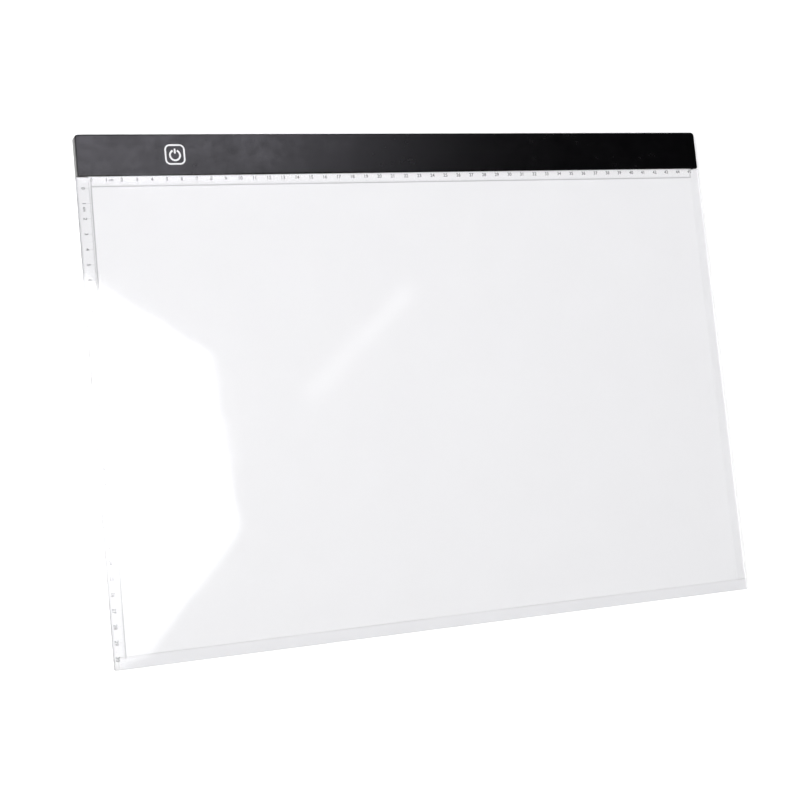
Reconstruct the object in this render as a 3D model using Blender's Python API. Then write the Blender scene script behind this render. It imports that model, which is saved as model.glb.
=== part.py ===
"""LED light pad: a thin edge-lit drawing panel with a control strip along its far edge.

Units are metres and +Z is up. +Y points from the drawing edge to the control strip, and
the origin is under the middle of the pad, on the surface that it stands on.
"""

import math

import bmesh
import bpy
from mathutils import Matrix, Vector

# Overall outline.
PAD_WIDTH = 0.468
PAD_DEPTH = 0.342
STRIP_DEPTH = 0.0277
CORNER_RADIUS = 0.0012

# Clearances: between films, between faces that meet, and round parts that are pushed together.
FILM_GAP = 0.00005
BOND_GAP = 0.0001
FIT_GAP = 0.0003

# Thickness of each layer, from the table upwards.
FOOT_HEIGHT = 0.0015
REAR_PANEL_THICKNESS = 0.0008
REFLECTOR_THICKNESS = 0.0002
LIGHT_GUIDE_THICKNESS = 0.0025
DIFFUSER_THICKNESS = 0.0002
FRONT_SHEET_THICKNESS = 0.0010
TAPE_THICKNESS = 0.0001

# Rails that close the three open edges of the panel.
LEFT_RAIL_WIDTH = 0.0087
RIGHT_RAIL_WIDTH = 0.0074
BOTTOM_RAIL_WIDTH = 0.0078
CORNER_LEG_WIDTH = 0.0036
TAPE_INSET = 0.0002

# Control strip housing.
STRIP_BOTTOM = 0.0005
STRIP_TOP = 0.0078
PARTING_HEIGHT = 0.0021
PARTING_GAP = 0.0001
FLOOR_THICKNESS = 0.0010
ROOF_THICKNESS = 0.0010
REAR_WALL = 0.0012
END_WALL = 0.0016
STRIP_END_INSET = 0.0012
STRIP_REAR_RADIUS = 0.0025
STRIP_FRONT_RADIUS = 0.0012
ROOF_BEVEL = 0.0009
FLOOR_BEVEL = 0.0005
LOCATING_RIB_WIDTH = 0.0010
LOCATING_RIB_HEIGHT = 0.0012

# How far the panel reaches under the strip, and how far its tongue is set in from the ends.
TONGUE_REACH = 0.0137
TONGUE_INSET = 0.0040

# Screws that close the housing.
COVER_SCREW_XS = (-0.222, -0.128, -0.043, 0.043, 0.128, 0.222)
COVER_SCREW_Y = 0.1662
SCREW_HEAD_RADIUS = 0.0020
SCREW_HEAD_HEIGHT = 0.0011
SCREW_SHANK_RADIUS = 0.00085
SCREW_LENGTH = 0.0040
SCREW_BOSS_RADIUS = 0.0022
SCREW_PILOT_RADIUS = 0.0010
FLOOR_BOSS_RADIUS = 0.0031
FLOOR_BOSS_HEIGHT = 0.0010
COUNTERBORE_RADIUS = 0.0023
COUNTERBORE_DEPTH = 0.0014

# LED bar.
LED_COUNT = 45
LED_PITCH = 0.0098
LED_SIZE = (0.0035, 0.0010, 0.0020)
LED_BOARD_THICKNESS = 0.0008
LED_BOARD_HEIGHT = 0.0039
LED_BOARD_BOTTOM = 0.0019
LED_BOARD_INSET = 0.0030
LED_TAPE_THICKNESS = 0.00015
LED_RIB_THICKNESS = 0.0008
LED_RIB_TOP = 0.0059
LED_RIB_LEFT = -0.196
LED_RIB_RIGHT = 0.228

# Control board.
BOARD_LEFT = -0.190
BOARD_RIGHT = -0.140
BOARD_WIDTH = 0.0072
BOARD_FRONT_GAP = 0.0005
BOARD_BOTTOM = 0.0026
BOARD_THICKNESS = 0.0010
BOARD_SCREW_INSET = 0.0025
BOARD_SCREW_Y = 0.1659
BOARD_HOLE_RADIUS = 0.0009
STANDOFF_RADIUS = 0.0016
STANDOFF_PILOT_RADIUS = 0.00075
BOARD_SCREW_HEAD_RADIUS = 0.0013
BOARD_SCREW_HEAD_HEIGHT = 0.0008
BOARD_SCREW_SHANK_RADIUS = 0.0006
BOARD_SCREW_LENGTH = 0.0017

# Power inlet: a micro-USB socket that looks out of the rear wall.
SOCKET_X = -0.152
SOCKET_WIDTH = 0.0074
SOCKET_HEIGHT = 0.0027
SOCKET_LENGTH = 0.0054
SOCKET_WALL = 0.0003
SOCKET_CHAMFER = 0.0008
SOCKET_RECESS = 0.0003
SOCKET_WINDOW_GAP = 0.0004
SOCKET_WINDOW_TOP_GAP = 0.0002
TONGUE_WIDTH = 0.0040
TONGUE_THICKNESS = 0.0006
TONGUE_LENGTH = 0.0034
SOCKET_BLOCK_LENGTH = 0.0014

# Touch key: a foil electrode under the printed icon, and the spring that joins it to the board.
KEY_X = -0.1675
ELECTRODE_RADIUS = 0.0060
ELECTRODE_THICKNESS = 0.0001
SPRING_RADIUS = 0.0009
SPRING_WIRE_RADIUS = 0.00014
SPRING_TURNS = 5
SPRING_SETBACK = 0.0050

# Icon of the touch key, sunk into the roof for ink to fill: a rounded frame round a power sign.
ICON_DEPTH = 0.0001
ICON_SIZE = 0.0137
ICON_STROKE = 0.0011
ICON_CORNER_RADIUS = 0.0036
POWER_RADIUS = 0.0040
POWER_STROKE = 0.0012
POWER_DROP = 0.0005
POWER_HALF_GAP = math.radians(24)
POWER_BAR_Y = (0.0010, 0.0046)
POWER_ARC_STEPS = 28

# Board components: name, centre x, centre y, length, width, height.
COMPONENTS = (
    ("touch_chip", -0.1625, 0.1643, 0.0049, 0.0039, 0.0015),
    ("dimmer_transistor", -0.1746, 0.1650, 0.0029, 0.0014, 0.0010),
    ("input_capacitor", -0.1583, 0.1622, 0.0020, 0.0012, 0.0012),
    ("filter_capacitor", -0.1746, 0.1624, 0.0020, 0.0012, 0.0012),
    ("current_resistor_1", -0.1800, 0.1650, 0.0025, 0.0013, 0.0005),
    ("current_resistor_2", -0.1800, 0.1626, 0.0025, 0.0013, 0.0005),
)
COMPONENT_COLOURS = {
    "touch_chip": (0.02, 0.02, 0.022),
    "dimmer_transistor": (0.02, 0.02, 0.022),
    "input_capacitor": (0.45, 0.32, 0.20),
    "filter_capacitor": (0.45, 0.32, 0.20),
    "current_resistor_1": (0.03, 0.03, 0.035),
    "current_resistor_2": (0.03, 0.03, 0.035),
}

# Supply leads from the board to the LED bar: insulation radius, and their route's offsets.
LEAD_RADIUS = 0.00045
LEAD_START_X = -0.1855
LEAD_LIFT = 0.0002
LEADS = (
    ("power_lead_red", 0.1633, -0.2030, (0.55, 0.03, 0.03)),
    ("power_lead_black", 0.1618, -0.1995, (0.02, 0.02, 0.02)),
)

# Foam that stops light from leaking out under the strip's lip.
SEAL_SETBACK = 0.0012
SEAL_WIDTH = 0.0030
SEAL_LENGTH = 0.440

# Rubber feet.
FOOT_RADIUS = 0.0050
FOOT_XS = (-0.215, 0.0, 0.215)
FOOT_YS = {"front": -0.154, "rear": 0.130}
FOOT_BEVEL = 0.0004

ROUND_SIDES = 24
SMALL_ROUND_SIDES = 16
SMOOTH_ANGLE = math.radians(35)
SAME_HEIGHT = 0.00001

# Heights that follow from the thicknesses, as (bottom, top).
PANEL_BOTTOM = FOOT_HEIGHT + BOND_GAP
REAR_PANEL_Z = (PANEL_BOTTOM, PANEL_BOTTOM + REAR_PANEL_THICKNESS)
REFLECTOR_Z = (REAR_PANEL_Z[1] + FILM_GAP, REAR_PANEL_Z[1] + FILM_GAP + REFLECTOR_THICKNESS)
LIGHT_GUIDE_Z = (REFLECTOR_Z[1] + FILM_GAP, REFLECTOR_Z[1] + FILM_GAP + LIGHT_GUIDE_THICKNESS)
DIFFUSER_Z = (LIGHT_GUIDE_Z[1] + FILM_GAP, LIGHT_GUIDE_Z[1] + FILM_GAP + DIFFUSER_THICKNESS)
FRONT_SHEET_Z = (DIFFUSER_Z[1] + FILM_GAP, DIFFUSER_Z[1] + FILM_GAP + FRONT_SHEET_THICKNESS)
REAR_TAPE_Z = (REAR_PANEL_Z[1] + FILM_GAP, REAR_PANEL_Z[1] + FILM_GAP + TAPE_THICKNESS)
FRONT_TAPE_Z = (FRONT_SHEET_Z[0] - FILM_GAP - TAPE_THICKNESS, FRONT_SHEET_Z[0] - FILM_GAP)
RAIL_Z = (REAR_TAPE_Z[1] + FILM_GAP, FRONT_TAPE_Z[0] - FILM_GAP)
ROOF_INSIDE = STRIP_TOP - ROOF_THICKNESS
FLOOR_INSIDE = STRIP_BOTTOM + FLOOR_THICKNESS
TOP_COVER_BOTTOM = PARTING_HEIGHT + PARTING_GAP
BOARD_TOP = BOARD_BOTTOM + BOARD_THICKNESS

# Plan positions that follow from the outline.
LEFT = -PAD_WIDTH / 2
RIGHT = PAD_WIDTH / 2
NEAR = -PAD_DEPTH / 2
FAR = PAD_DEPTH / 2
STRIP_FRONT = FAR - STRIP_DEPTH
KEY_Y = (STRIP_FRONT + FAR) / 2
SHOULDER = STRIP_FRONT - BOND_GAP
TONGUE_END = STRIP_FRONT + TONGUE_REACH
LED_FACE_Y = TONGUE_END + 2 * BOND_GAP
LED_BOARD_FRONT = LED_FACE_Y + LED_SIZE[1]
LED_BOARD_REAR = LED_BOARD_FRONT + LED_BOARD_THICKNESS
LED_TAPE_FRONT = LED_BOARD_REAR + FILM_GAP
LED_RIB_FRONT = LED_TAPE_FRONT + LED_TAPE_THICKNESS + FILM_GAP
LED_RIB_REAR = LED_RIB_FRONT + LED_RIB_THICKNESS
BOARD_FRONT = LED_RIB_REAR + BOARD_FRONT_GAP
STRIP_END = RIGHT - STRIP_END_INSET
CAVITY_END = STRIP_END - END_WALL
CAVITY_REAR = FAR - REAR_WALL


def clear_scene():
    for old in list(bpy.data.objects):
        bpy.data.objects.remove(old, do_unlink=True)


def material(name, colour, roughness, metallic=0.0, alpha=1.0):
    made = bpy.data.materials.new(name)
    made.use_nodes = True
    shader = made.node_tree.nodes["Principled BSDF"]
    shader.inputs["Base Color"].default_value = (*colour, 1.0)
    shader.inputs["Roughness"].default_value = roughness
    shader.inputs["Metallic"].default_value = metallic
    shader.inputs["Alpha"].default_value = alpha
    return made


def object_from(bm, name, skin=None):
    """Turns a bmesh into an object with its faces pointing out."""
    bmesh.ops.recalc_face_normals(bm, faces=bm.faces)
    mesh = bpy.data.meshes.new(name)
    bm.to_mesh(mesh)
    bm.free()
    made = bpy.data.objects.new(name, mesh)
    bpy.context.scene.collection.objects.link(made)
    if skin:
        mesh.materials.append(skin)
    return made


def smooth(made):
    made.data.shade_smooth()
    made.data.set_sharp_from_angle(angle=SMOOTH_ANGLE)
    return made


def rectangle(x_range, y_range):
    return [
        Vector((x_range[0], y_range[0])),
        Vector((x_range[1], y_range[0])),
        Vector((x_range[1], y_range[1])),
        Vector((x_range[0], y_range[1])),
    ]


def rounded(corners, radii, steps=5):
    """The outline with each corner turned into an arc of its own radius. Zero leaves it sharp."""
    outline = []
    for index, corner in enumerate(corners):
        radius = radii[index]
        if not radius:
            outline.append(corner)
            continue
        back = (corners[index - 1] - corner).normalized()
        ahead = (corners[(index + 1) % len(corners)] - corner).normalized()
        centre = corner + radius * (back + ahead)
        for step in range(steps + 1):
            turn = step / steps * math.pi / 2
            outline.append(centre - radius * (ahead * math.cos(turn) + back * math.sin(turn)))
    return outline


def add_prism(bm, outline, z_range):
    """Adds an upright prism to a bmesh and returns its vertices."""
    bottom = bm.faces.new([bm.verts.new((point[0], point[1], z_range[0])) for point in outline])
    grown = bmesh.ops.extrude_face_region(bm, geom=[bottom])["geom"]
    top = [item for item in grown if isinstance(item, bmesh.types.BMVert)]
    bmesh.ops.translate(bm, verts=top, vec=(0, 0, z_range[1] - z_range[0]))
    return list(bottom.verts) + top


def add_cylinder(bm, centre, radius, z_range, sides=ROUND_SIDES):
    """Adds an upright cylinder to a bmesh."""
    outline = []
    for side in range(sides):
        turn = 2 * math.pi * side / sides
        outline.append((centre[0] + radius * math.cos(turn), centre[1] + radius * math.sin(turn)))
    return add_prism(bm, outline, z_range)


def prism(name, outline, z_range, skin):
    bm = bmesh.new()
    add_prism(bm, outline, z_range)
    return object_from(bm, name, skin)


def bevel_edges_at(made, height, width, segments):
    """Rounds the outline's edges that lie at one height."""
    bm = bmesh.new()
    bm.from_mesh(made.data)
    edges = [edge for edge in bm.edges if all(abs(v.co.z - height) < SAME_HEIGHT for v in edge.verts)]
    bmesh.ops.bevel(bm, geom=edges, offset=width, segments=segments, profile=0.5, affect="EDGES")
    bmesh.ops.recalc_face_normals(bm, faces=bm.faces)
    bm.to_mesh(made.data)
    bm.free()
    return made


def boolean(made, tool, operation):
    """Adds a Boolean whose helper object isn't part of the product."""
    tool.hide_render = True
    tool.display_type = "WIRE"
    change = made.modifiers.new(tool.name, "BOOLEAN")
    change.operation = operation
    change.solver = "EXACT"
    change.use_self = operation == "UNION"
    change.object = tool


def edge_bevel(made, width, segments=2):
    change = made.modifiers.new("edge_bevel", "BEVEL")
    change.width = width
    change.segments = segments
    change.limit_method = "ANGLE"
    change.angle_limit = SMOOTH_ANGLE


def panel_outline():
    """The full-width panel with the narrower tongue that slides under the strip."""
    tongue_left = LEFT + TONGUE_INSET
    tongue_right = RIGHT - TONGUE_INSET
    corners = rectangle((LEFT, RIGHT), (NEAR, SHOULDER))[:3]
    corners.append(Vector((tongue_right, SHOULDER)))
    corners.append(Vector((tongue_right, TONGUE_END)))
    corners.append(Vector((tongue_left, TONGUE_END)))
    corners.append(Vector((tongue_left, SHOULDER)))
    corners.append(Vector((LEFT, SHOULDER)))
    radii = [CORNER_RADIUS, CORNER_RADIUS] + [0] * (len(corners) - 2)
    return rounded(corners, radii)


def build_rear_panel():
    skin = material("rear_panel_white", (0.80, 0.80, 0.79), 0.55)
    edge_bevel(prism("rear_panel", panel_outline(), REAR_PANEL_Z, skin), 0.00015)


def build_front_sheet():
    skin = material("front_sheet_clear", (0.96, 0.97, 0.98), 0.05, alpha=0.35)
    edge_bevel(prism("front_sheet", panel_outline(), FRONT_SHEET_Z, skin), 0.0002)


def build_optical_stack():
    """Reflector, light guide and diffuser fill the space between the three rails."""
    x_range = (LEFT + LEFT_RAIL_WIDTH + FILM_GAP, RIGHT - RIGHT_RAIL_WIDTH - FILM_GAP)
    outline = rectangle(x_range, (NEAR + BOTTOM_RAIL_WIDTH + FILM_GAP, TONGUE_END))
    reflector_skin = material("reflector_white", (0.92, 0.92, 0.92), 0.35)
    guide_skin = material("light_guide_clear", (0.93, 0.96, 0.97), 0.08)
    diffuser_skin = material("diffuser_opal", (0.93, 0.93, 0.95), 0.45)
    prism("reflector_sheet", outline, REFLECTOR_Z, reflector_skin)
    prism("light_guide_plate", outline, LIGHT_GUIDE_Z, guide_skin)
    prism("diffuser_film", outline, DIFFUSER_Z, diffuser_skin)


def rail_places():
    """Each rail's side, outline, radius at each corner, and the ranges that its tape covers."""
    bottom_top = NEAR + BOTTOM_RAIL_WIDTH
    side_bottom = bottom_top + BOND_GAP
    leg = LEFT + CORNER_LEG_WIDTH
    left_inner = LEFT + LEFT_RAIL_WIDTH
    right_inner = RIGHT - RIGHT_RAIL_WIDTH
    left_outline = [
        Vector((LEFT, NEAR)),
        Vector((leg, NEAR)),
        Vector((leg, side_bottom)),
        Vector((left_inner, side_bottom)),
        Vector((left_inner, SHOULDER)),
        Vector((LEFT, SHOULDER)),
    ]
    right_x = (right_inner, RIGHT)
    side_y = (side_bottom, SHOULDER)
    bottom_x = (leg + BOND_GAP, RIGHT)
    bottom_y = (NEAR, bottom_top)
    return (
        ("left", left_outline, (CORNER_RADIUS, 0, 0, 0, 0, 0), (LEFT, left_inner), side_y),
        ("right", rectangle(right_x, side_y), (0, 0, 0, 0), right_x, side_y),
        ("bottom", rectangle(bottom_x, bottom_y), (0, CORNER_RADIUS, 0, 0), bottom_x, bottom_y),
    )


def build_rails():
    """White rails close the panel's edges. The left one runs down past the end of the bottom one."""
    rail_skin = material("rail_white", (0.82, 0.82, 0.84), 0.4)
    tape_skin = material("tape_white", (0.85, 0.85, 0.83), 0.6)
    for side, outline, radii, x_range, y_range in rail_places():
        edge_bevel(prism(side + "_edge_rail", rounded(outline, radii), RAIL_Z, rail_skin), 0.0002)
        tape_x = (x_range[0] + TAPE_INSET, x_range[1] - TAPE_INSET)
        tape_y = (y_range[0] + TAPE_INSET, y_range[1] - TAPE_INSET)
        tape_outline = rectangle(tape_x, tape_y)
        prism(side + "_front_tape", tape_outline, FRONT_TAPE_Z, tape_skin)
        prism(side + "_rear_tape", tape_outline, REAR_TAPE_Z, tape_skin)


def strip_outline():
    corners = rectangle((-STRIP_END, STRIP_END), (STRIP_FRONT, FAR))
    radii = (STRIP_FRONT_RADIUS, STRIP_FRONT_RADIUS, STRIP_REAR_RADIUS, STRIP_REAR_RADIUS)
    return rounded(corners, radii)


def cavity_outline():
    """The inside of the housing. It is open towards the panel."""
    front = STRIP_FRONT - REAR_WALL
    radius = STRIP_REAR_RADIUS - REAR_WALL
    corners = rectangle((-CAVITY_END, CAVITY_END), (front, CAVITY_REAR))
    return rounded(corners, (0, 0, radius, radius))


def socket_z_range():
    bottom = BOARD_TOP + FILM_GAP
    return bottom, bottom + SOCKET_HEIGHT


def key_square(size):
    """A rounded square round the key's centre, for the icon's frame."""
    half = size / 2
    radius = ICON_CORNER_RADIUS - (ICON_SIZE - size) / 2
    corners = rectangle((KEY_X - half, KEY_X + half), (KEY_Y - half, KEY_Y + half))
    return rounded(corners, [radius] * 4)


def power_arc():
    """The open ring of the power sign, with its gap towards +Y."""
    outer = []
    inner = []
    for step in range(POWER_ARC_STEPS + 1):
        sweep = 2 * (math.pi - POWER_HALF_GAP) * step / POWER_ARC_STEPS
        turn = math.pi / 2 + POWER_HALF_GAP + sweep
        ray = Vector((math.cos(turn), math.sin(turn)))
        centre = Vector((KEY_X, KEY_Y - POWER_DROP))
        outer.append(centre + POWER_RADIUS * ray)
        inner.append(centre + (POWER_RADIUS - POWER_STROKE) * ray)
    return outer + inner[::-1]


def engrave_icon(cover):
    icon_z = (STRIP_TOP - ICON_DEPTH, STRIP_TOP + ICON_DEPTH)
    frame = prism("icon_frame", key_square(ICON_SIZE), icon_z, None)
    middle_z = (STRIP_TOP - 2 * ICON_DEPTH, STRIP_TOP + 2 * ICON_DEPTH)
    middle = prism("icon_frame_middle", key_square(ICON_SIZE - 2 * ICON_STROKE), middle_z, None)
    boolean(frame, middle, "DIFFERENCE")
    boolean(cover, frame, "DIFFERENCE")

    sign = bmesh.new()
    add_prism(sign, power_arc(), icon_z)
    bar_x = (KEY_X - POWER_STROKE / 2, KEY_X + POWER_STROKE / 2)
    bar_y = (KEY_Y - POWER_DROP + POWER_BAR_Y[0], KEY_Y - POWER_DROP + POWER_BAR_Y[1])
    add_prism(sign, rounded(rectangle(bar_x, bar_y), [POWER_STROKE / 2.1] * 4, 3), icon_z)
    boolean(cover, object_from(sign, "icon_sign"), "DIFFERENCE")


def build_top_cover(skin):
    cover_z = (TOP_COVER_BOTTOM, STRIP_TOP)
    cover = prism("strip_top_cover", strip_outline(), cover_z, skin)
    bevel_edges_at(cover, STRIP_TOP, ROOF_BEVEL, 4)
    smooth(cover)

    cavity = prism("top_cavity", cavity_outline(), (FLOOR_INSIDE, ROOF_INSIDE), None)
    boolean(cover, cavity, "DIFFERENCE")

    screw_bottom = FLOOR_INSIDE + FLOOR_BOSS_HEIGHT
    bosses = bmesh.new()
    pilots = bmesh.new()
    for x in COVER_SCREW_XS:
        boss_z = (screw_bottom + FIT_GAP, ROOF_INSIDE + ROOF_THICKNESS / 2)
        add_cylinder(bosses, (x, COVER_SCREW_Y), SCREW_BOSS_RADIUS, boss_z)
        pilot_z = (screw_bottom, ROOF_INSIDE - FIT_GAP)
        add_cylinder(pilots, (x, COVER_SCREW_Y), SCREW_PILOT_RADIUS, pilot_z, SMALL_ROUND_SIDES)
    boolean(cover, object_from(bosses, "top_bosses"), "UNION")
    boolean(cover, object_from(pilots, "top_pilots"), "DIFFERENCE")

    half_width = SOCKET_WIDTH / 2 + SOCKET_WINDOW_GAP
    bottom, top = socket_z_range()
    window_x = (SOCKET_X - half_width, SOCKET_X + half_width)
    window_y = (CAVITY_REAR - REAR_WALL, FAR + REAR_WALL)
    window_z = (bottom - SOCKET_WINDOW_GAP, top + SOCKET_WINDOW_TOP_GAP)
    window = prism("socket_window", rectangle(window_x, window_y), window_z, None)
    boolean(cover, window, "DIFFERENCE")
    engrave_icon(cover)


def add_locating_rib(bm):
    """The rib inside the rear wall and the two ends, which keys the covers together."""
    outer_x = CAVITY_END - FIT_GAP
    inner_x = outer_x - LOCATING_RIB_WIDTH
    outer_y = CAVITY_REAR - FIT_GAP
    inner_y = outer_y - LOCATING_RIB_WIDTH
    front = TONGUE_END + FIT_GAP
    corners = (
        (-outer_x, front),
        (-inner_x, front),
        (-inner_x, inner_y),
        (inner_x, inner_y),
        (inner_x, front),
        (outer_x, front),
        (outer_x, outer_y),
        (-outer_x, outer_y),
    )
    radius = STRIP_REAR_RADIUS - REAR_WALL
    outline = rounded([Vector(corner) for corner in corners], (0, 0, 0, 0, 0, 0, radius, radius))
    rib_z = (FLOOR_INSIDE - FLOOR_THICKNESS / 2, PARTING_HEIGHT + LOCATING_RIB_HEIGHT)
    add_prism(bm, outline, rib_z)


def board_screw_xs():
    return (BOARD_LEFT + BOARD_SCREW_INSET, BOARD_RIGHT - BOARD_SCREW_INSET)


def build_bottom_cover(skin):
    cover_z = (STRIP_BOTTOM, PARTING_HEIGHT)
    cover = prism("strip_bottom_cover", strip_outline(), cover_z, skin)
    bevel_edges_at(cover, STRIP_BOTTOM, FLOOR_BEVEL, 3)
    smooth(cover)

    cavity_z = (FLOOR_INSIDE, PARTING_HEIGHT + FLOOR_THICKNESS)
    cavity = prism("bottom_cavity", cavity_outline(), cavity_z, None)
    boolean(cover, cavity, "DIFFERENCE")

    embedded = FLOOR_INSIDE - FLOOR_THICKNESS / 2
    raised = bmesh.new()
    holes = bmesh.new()
    add_locating_rib(raised)
    led_rib = rectangle((LED_RIB_LEFT, LED_RIB_RIGHT), (LED_RIB_FRONT, LED_RIB_REAR))
    add_prism(raised, led_rib, (embedded, LED_RIB_TOP))
    counterbore_z = (STRIP_BOTTOM - FLOOR_THICKNESS, STRIP_BOTTOM + COUNTERBORE_DEPTH)
    for x in COVER_SCREW_XS:
        centre = (x, COVER_SCREW_Y)
        boss_z = (embedded, FLOOR_INSIDE + FLOOR_BOSS_HEIGHT)
        add_cylinder(raised, centre, FLOOR_BOSS_RADIUS, boss_z)
        add_cylinder(holes, centre, COUNTERBORE_RADIUS, counterbore_z)
    for x in board_screw_xs():
        centre = (x, BOARD_SCREW_Y)
        add_cylinder(raised, centre, STANDOFF_RADIUS, (embedded, BOARD_BOTTOM - BOND_GAP))
        pilot_z = (FLOOR_INSIDE, BOARD_BOTTOM)
        add_cylinder(holes, centre, STANDOFF_PILOT_RADIUS, pilot_z, SMALL_ROUND_SIDES)
    boolean(cover, object_from(raised, "bottom_bosses"), "UNION")
    boolean(cover, object_from(holes, "bottom_holes"), "DIFFERENCE")

    shank_holes = bmesh.new()
    for x in COVER_SCREW_XS:
        hole_z = (STRIP_BOTTOM, FLOOR_INSIDE + 2 * FLOOR_BOSS_HEIGHT)
        add_cylinder(shank_holes, (x, COVER_SCREW_Y), SCREW_PILOT_RADIUS, hole_z, SMALL_ROUND_SIDES)
    boolean(cover, object_from(shank_holes, "bottom_shank_holes"), "DIFFERENCE")


def screw_mesh(name, head, shank, slot, skin):
    """A screw that stands on its head. head and shank are (radius, height), slot (length, depth)."""
    bm = bmesh.new()
    add_cylinder(bm, (0, 0), head[0], (0, head[1]))
    rim = [edge for edge in bm.edges if all(vert.co.z == 0 for vert in edge.verts)]
    bmesh.ops.bevel(bm, geom=rim, offset=head[1] / 3, segments=2, profile=0.5, affect="EDGES")
    body = object_from(bm, name, skin)
    smooth(body)

    shank_bm = bmesh.new()
    shank_z = (head[1] / 2, head[1] + shank[1])
    add_cylinder(shank_bm, (0, 0), shank[0], shank_z, SMALL_ROUND_SIDES)
    boolean(body, object_from(shank_bm, name + "_shank"), "UNION")

    cross = bmesh.new()
    half = slot[0] / 2
    thin = slot[0] / 8
    outline = []
    for turn in range(4):
        spin = Matrix.Rotation(turn * math.pi / 2, 2)
        outline.append(spin @ Vector((thin, thin)))
        outline.append(spin @ Vector((thin, half)))
        outline.append(spin @ Vector((-thin, half)))
    add_prism(cross, outline, (-slot[1], slot[1]))
    boolean(body, object_from(cross, name + "_cross"), "DIFFERENCE")
    return body


def evaluated_mesh(made, name):
    """The object's mesh with its modifiers carried out, for copies to share."""
    bpy.context.view_layer.update()
    graph = bpy.context.evaluated_depsgraph_get()
    mesh = bpy.data.meshes.new_from_object(made.evaluated_get(graph))
    mesh.name = name
    return mesh


def place_screws(pattern, names, places, turned):
    """Puts a copy of the screw at each place. Turned screws have their head on top."""
    mesh = evaluated_mesh(pattern, pattern.name + "_shared")
    for modifier in list(pattern.modifiers):
        bpy.data.objects.remove(modifier.object, do_unlink=True)
    bpy.data.objects.remove(pattern, do_unlink=True)
    for name, place in zip(names, places):
        copy = bpy.data.objects.new(name, mesh)
        copy.location = place
        copy.rotation_euler = (math.pi, 0, 0) if turned else (0, 0, 0)
        bpy.context.scene.collection.objects.link(copy)


def build_cover_screws():
    skin = material("screw_steel", (0.45, 0.45, 0.47), 0.35, metallic=1.0)
    head = (SCREW_HEAD_RADIUS, SCREW_HEAD_HEIGHT)
    shank = (SCREW_SHANK_RADIUS, SCREW_LENGTH)
    slot = (1.3 * SCREW_HEAD_RADIUS, SCREW_HEAD_HEIGHT / 2)
    pattern = screw_mesh("cover_screw", head, shank, slot, skin)
    head_base = STRIP_BOTTOM + COUNTERBORE_DEPTH - SCREW_HEAD_HEIGHT - BOND_GAP
    names = [f"cover_screw_{index + 1}" for index in range(len(COVER_SCREW_XS))]
    places = [(x, COVER_SCREW_Y, head_base) for x in COVER_SCREW_XS]
    place_screws(pattern, names, places, turned=False)


def build_board_screws():
    skin = material("board_screw_steel", (0.55, 0.55, 0.56), 0.3, metallic=1.0)
    head = (BOARD_SCREW_HEAD_RADIUS, BOARD_SCREW_HEAD_HEIGHT)
    shank = (BOARD_SCREW_SHANK_RADIUS, BOARD_SCREW_LENGTH)
    slot = (1.3 * BOARD_SCREW_HEAD_RADIUS, BOARD_SCREW_HEAD_HEIGHT / 2)
    pattern = screw_mesh("board_screw", head, shank, slot, skin)
    head_top = BOARD_TOP + BOND_GAP + BOARD_SCREW_HEAD_HEIGHT
    places = [(x, BOARD_SCREW_Y, head_top) for x in board_screw_xs()]
    place_screws(pattern, ["board_screw_1", "board_screw_2"], places, turned=True)


def build_led_bar():
    """A narrow circuit board with a row of LEDs that face the light guide's edge."""
    left = LEFT + LEFT_RAIL_WIDTH + LED_BOARD_INSET
    right = RIGHT - RIGHT_RAIL_WIDTH - LED_BOARD_INSET
    board_skin = material("led_board_white", (0.85, 0.85, 0.82), 0.5)
    outline = rectangle((left, right), (LED_BOARD_FRONT, LED_BOARD_REAR))
    board_z = (LED_BOARD_BOTTOM, LED_BOARD_BOTTOM + LED_BOARD_HEIGHT)
    bar = prism("led_bar", outline, board_z, board_skin)

    row = bmesh.new()
    length, depth, height = LED_SIZE
    middle_z = sum(LIGHT_GUIDE_Z) / 2
    led_y = (LED_BOARD_FRONT - depth, LED_BOARD_FRONT + LED_BOARD_THICKNESS / 2)
    led_z = (middle_z - height / 2, middle_z + height / 2)
    for index in range(LED_COUNT):
        x = (index - (LED_COUNT - 1) / 2) * LED_PITCH
        add_prism(row, rectangle((x - length / 2, x + length / 2), led_y), led_z)
    boolean(bar, object_from(row, "led_row"), "UNION")

    tape_skin = material("thermal_tape_grey", (0.55, 0.56, 0.58), 0.7)
    tape_y = (LED_TAPE_FRONT, LED_TAPE_FRONT + LED_TAPE_THICKNESS)
    tape_x = (LED_RIB_LEFT + FIT_GAP, right - FIT_GAP)
    prism("led_bar_tape", rectangle(tape_x, tape_y), board_z, tape_skin)


def build_control_board():
    skin = material("control_board_green", (0.02, 0.14, 0.06), 0.4)
    outline = rectangle((BOARD_LEFT, BOARD_RIGHT), (BOARD_FRONT, BOARD_FRONT + BOARD_WIDTH))
    board = prism("control_board", outline, (BOARD_BOTTOM, BOARD_TOP), skin)
    holes = bmesh.new()
    for x in board_screw_xs():
        hole_z = (BOARD_BOTTOM - BOARD_THICKNESS, BOARD_TOP + BOARD_THICKNESS)
        add_cylinder(holes, (x, BOARD_SCREW_Y), BOARD_HOLE_RADIUS, hole_z, SMALL_ROUND_SIDES)
    boolean(board, object_from(holes, "board_holes"), "DIFFERENCE")

    for name, x, y, length, width, height in COMPONENTS:
        bottom = BOARD_TOP + FILM_GAP
        place = rectangle((x - length / 2, x + length / 2), (y - width / 2, y + width / 2))
        part_skin = material(name + "_skin", COMPONENT_COLOURS[name], 0.4)
        edge_bevel(prism(name, place, (bottom, bottom + height), part_skin), height / 12, 1)


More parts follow.
